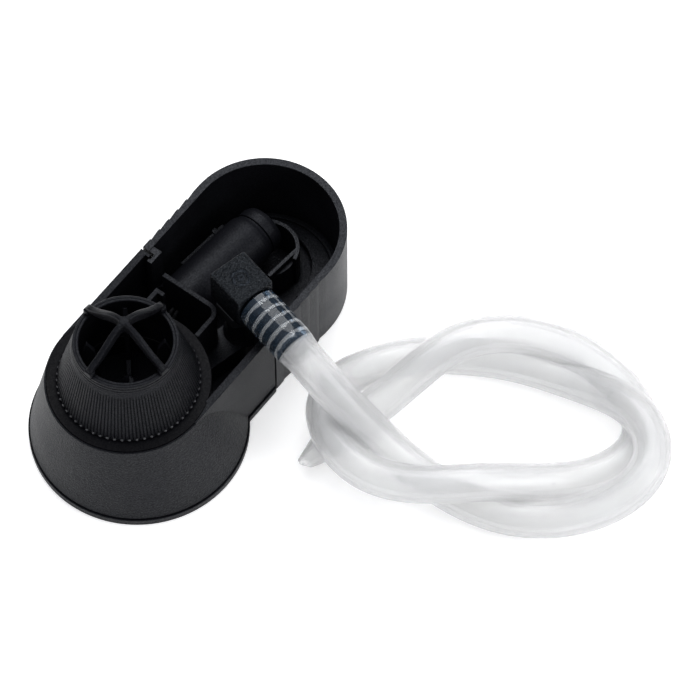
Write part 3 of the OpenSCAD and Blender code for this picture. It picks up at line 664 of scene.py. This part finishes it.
# %% Softened copies of CAD nodes
def softened(name, width, material, angle=32):
    body = nodes[name]["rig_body"]
    mesh = bmesh.new()
    mesh.from_mesh(nodes[name].data)
    bmesh.ops.remove_doubles(mesh, verts=mesh.verts, dist=0.004 * mm)
    bmesh.ops.dissolve_limit(mesh, angle_limit=math.radians(0.6), verts=mesh.verts, edges=mesh.edges)
    data = bpy.data.meshes.new(name + "_soft")
    mesh.to_mesh(data)
    mesh.free()
    data.materials.append(material)
    made = bpy.data.objects.new(name + "_soft", data)
    bpy.context.scene.collection.objects.link(made)
    round_edges = made.modifiers.new("round_edges", "BEVEL")
    round_edges.width, round_edges.segments = width * mm, 2
    round_edges.limit_method, round_edges.angle_limit = "ANGLE", math.radians(angle)
    round_edges.use_clamp_overlap = True
    data.shade_smooth()
    even = made.modifiers.new("even_light", "WEIGHTED_NORMAL")
    even.weight, even.keep_sharp = 90, True
    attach(made, body)
    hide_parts(name)
    return made


slots = {s["node"]: s["material_slot"] for s in frame["record"]["subparts"]}
soft_nodes = {"inner_bracket": 0.25, "face_plate": 0.3, "elbow_nut": 0.3, "capsule_cap": 0.25}
for name, width in soft_nodes.items():
    softened(name, width, look[slots[name]])
print("softened", len(soft_nodes))

# %% [markdown]
# ## The elbow
# The elbow is a square nylon block with a barb that grips the hose and a spigot down into
# the stem. Its top shows the cutter's marks: a fine mesh of scratches and a round swirl.

# %% Elbow block
def rounded_box(half, radius, cuts=4):
    """A box with round edges: a grid on each side, pulled to a rounded shape."""
    mesh = bmesh.new()
    bmesh.ops.create_cube(mesh, size=2)
    for v in mesh.verts:
        v.co = Vector((v.co.x * half[0], v.co.y * half[1], v.co.z * half[2]))
    bmesh.ops.bevel(mesh, geom=list(mesh.edges), offset=radius, segments=cuts, profile=0.5, affect="EDGES")
    points = [v.co.copy() for v in mesh.verts]
    faces = [tuple(v.index for v in f.verts) for f in mesh.faces]
    mesh.free()
    return points, faces


block_half = (7.8 * mm, 8.3 * mm, 7.6 * mm)
block_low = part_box("elbow")[1].z - 2 * block_half[2]
block = rounded_box(block_half, 0.7 * mm)
block = ([Vector(p) + Vector((0, 0, block_low + block_half[2] - elbow_at.z)) for p in block[0]], block[1])
barb_profile = [(3.1, 6.0), (4.3, 6.0), (4.3, 11.2)]
for i in range(barb_rings):
    z = 8.3 + 3.6 + i * ring_pitch
    barb_profile += [(4.4, z - 0.4), (5.5, z - 0.15), (5.7, z + 0.1), (5.68, z + 1.9), (5.3, z + 2.4),
                     (4.4, z + 3.2)]
barb_profile += [(4.3, 28.0), (4.0, 28.3), (3.1, 28.3)]
barb_points, barb_faces = turned([(r * mm, z * mm) for r, z in barb_profile], 48)
lay_down = Matrix.Rotation(math.radians(90), 3, "X")
barb = ([lay_down @ Vector(p) for p in barb_points], barb_faces)
low = (block_low - elbow_at.z) / mm
spigot_profile = ((3.1, low - 8), (4.3, low - 8), (4.5, low - 7.6), (4.5, low + 0.5), (3.1, low + 0.5))
spigot = turned([(r * mm, z * mm) for r, z in spigot_profile], 40)
points, faces = joined(block, barb, spigot)
elbow_frame = Matrix.Translation(elbow_at) @ Matrix.Rotation(outlet_turn, 4, "Z")
print("elbow", len(points), "points")

# %% [markdown]
# ## The elbow's tooled top
# The cutter's swirl is a wave of rings round the stem's axis, bent by its own distortion and
# fading out past a few millimetres. It changes the colour a little and the bump more.

# %% Finish of the elbow
swirl_from, swirl_to = 4.4 * mm, 3.4 * mm


def tooled_nylon():
    made = finish("tooled_nylon", (0.0024, 0.0033, 0.0050), 0.4, 1000, 0.9, 0.5, 0.01, slot="nylon",
                  flow=900, fine=1.0, sheen=0.32, Specular_Tint=(0.82, 0.9, 1.0, 1))
    tree = made.node_tree
    bsdf = tree.nodes["Principled BSDF"]
    coords = node(tree, "TexCoord")
    split = node(tree, "SeparateXYZ")
    tree.links.new(coords.outputs["Object"], split.inputs["Vector"])
    flat = node(tree, "CombineXYZ")
    tree.links.new(split.outputs["X"], flat.inputs["X"])
    tree.links.new(split.outputs["Y"], flat.inputs["Y"])
    rings = node(tree, "TexWave", wave_type="RINGS", rings_direction="SPHERICAL", Scale=160,
                 Distortion=5, Detail=3, **{"Detail Scale": 3})
    tree.links.new(flat.outputs["Vector"], rings.inputs["Vector"])
    away = node(tree, "VectorMath", operation="LENGTH")
    tree.links.new(flat.outputs["Vector"], away.inputs[0])
    near = remap(tree, away.outputs["Value"], swirl_from, swirl_to, 0.12, 1)
    swirl = maths(tree, "MULTIPLY", rings.outputs["Fac"], near)
    base = bsdf.inputs["Base Color"].links[0].from_socket
    marks = ramp(tree, swirl, 0.25, 0.75, (0.5, 0.5, 0.5), (2.1, 2.1, 2.1))
    tree.links.new(colours_mixed(tree, "MULTIPLY", base, marks), bsdf.inputs["Base Color"])
    grain = bsdf.inputs["Normal"].links[0].from_socket
    tree.links.new(bumped(tree, swirl, 1.0, 0.3, grain), bsdf.inputs["Normal"])
    return made


elbow = piece("elbow_block", points, faces, tooled_nylon(), "base", ("elbow",), at=elbow_frame, sharp=40)
print("elbow at", [round(v, 4) for v in elbow_at])

# %% [markdown]
# ## Finishes on the CAD nodes that stay
# Each remaining node takes the finish of its slot, so nothing keeps the importer's colour.
# The rear cover's plastic is a little shinier than the front's. The deck's is rougher, and its
# darker colour and weaker sheen are painted shade.

# %% Paint the nodes
own_finish = {
    "rear_cover": finish("cover_satin", shell_black, 0.48, 1500, 0.24, 0.25, 0.02, slot="black_shell",
                         fine=1.0, soft=0.2, sheen=0.34, Specular_Tint=cool_sheen),
    # Painted shade: the deck's copy of the black plastic is darker and has half the sheen.
    "pump_deck": finish("deck_painted_shade", (0.0036, 0.0037, 0.0048), 0.6, 1500, 0.16, 0.15, 0.02,
                        slot="black_shell", fine=0.8, soft=0.2, sheen=0.1),
}
for name, cad in nodes.items():
    cad.data.materials.clear()
    cad.data.materials.append(own_finish.get(name, look[slots[name]]))
    cad.data.shade_smooth()
    cad.data.set_sharp_from_angle(angle=math.radians(35))
print("painted", len(nodes))

# %% [markdown]
# ## Floor
# The floor is pale, and glows a little so that the shadows under the hose stay faint.

# %% Floor
floor_material = finish("floor_white", (0.85, 0.85, 0.85), 0.9, 60, 0.01, 0.003)
glow = floor_material.node_tree.nodes["Principled BSDF"]
glow.inputs["Emission Color"].default_value = (1, 1, 1, 1)
glow.inputs["Emission Strength"].default_value = 0.45
floor = bpy.data.meshes.new("floor")
floor.from_pydata([(-6, -6, 0), (6, -6, 0), (6, 6, 0), (-6, 6, 0)], [], [(0, 1, 2, 3)])
floor.materials.append(floor_material)
floor_object = bpy.data.objects.new("floor", floor)
floor_object.location.z = -0.0002
bpy.context.scene.collection.objects.link(floor_object)
print("floor", floor_material.name)

# %% [markdown]
# ## Light
# Black plastic shows mostly what it mirrors, so the lights are placed for its faces. A weak
# one comes from the left, one from the side lights the near walls, and one from behind lights
# the flat tops. A wide one from above lights the hose. It is left out of glossy reflections,
# or it would grey the black plastic.

# %% Sky and lights
world = bpy.data.worlds.new("studio")
world.use_nodes = True
sky = world.node_tree
direction = node(sky, "SeparateXYZ")
sky.links.new(node(sky, "TexCoord").outputs["Generated"], direction.inputs["Vector"])
fade = ramp(sky, direction.outputs["Z"], 0.3, 0.85, (0.12, 0.12, 0.13), (0.42, 0.43, 0.46))
sky.links.new(fade, sky.nodes["Background"].inputs["Color"])
sky.nodes["Background"].inputs["Strength"].default_value = 0.9
bpy.context.scene.world = world


def soft_light(name, place, target, size, power):
    data = bpy.data.lights.new(name, "AREA")
    data.shape, data.size, data.energy = "SQUARE", size, power
    made = bpy.data.objects.new(name, data)
    made.location = place
    made.rotation_euler = (Vector(target) - Vector(place)).to_track_quat("-Z", "Y").to_euler()
    bpy.context.scene.collection.objects.link(made)
    return made


soft_light("key", (-1.2, -0.5, 1.3), (0.03, 0, 0.03), 0.9, 3)
soft_light("side", (0.5, -1.5, 0.9), (0.06, -0.03, 0.03), 0.9, 9)
soft_light("back", (0.72, 0.5, 1.35), (0.03, 0, 0.03), 1.1, 14)
fill = soft_light("fill", (0.05, -0.05, 1.7), (0.05, -0.05, 0), 1.6, 14)
fill.visible_glossy = False
view = bpy.context.scene.view_settings
view.view_transform, view.look = "Standard", "None"
cycles = bpy.context.scene.cycles
cycles.max_bounces, cycles.transmission_bounces, cycles.glossy_bounces = 20, 20, 6
cycles.caustics_reflective = False
print("studio ready")
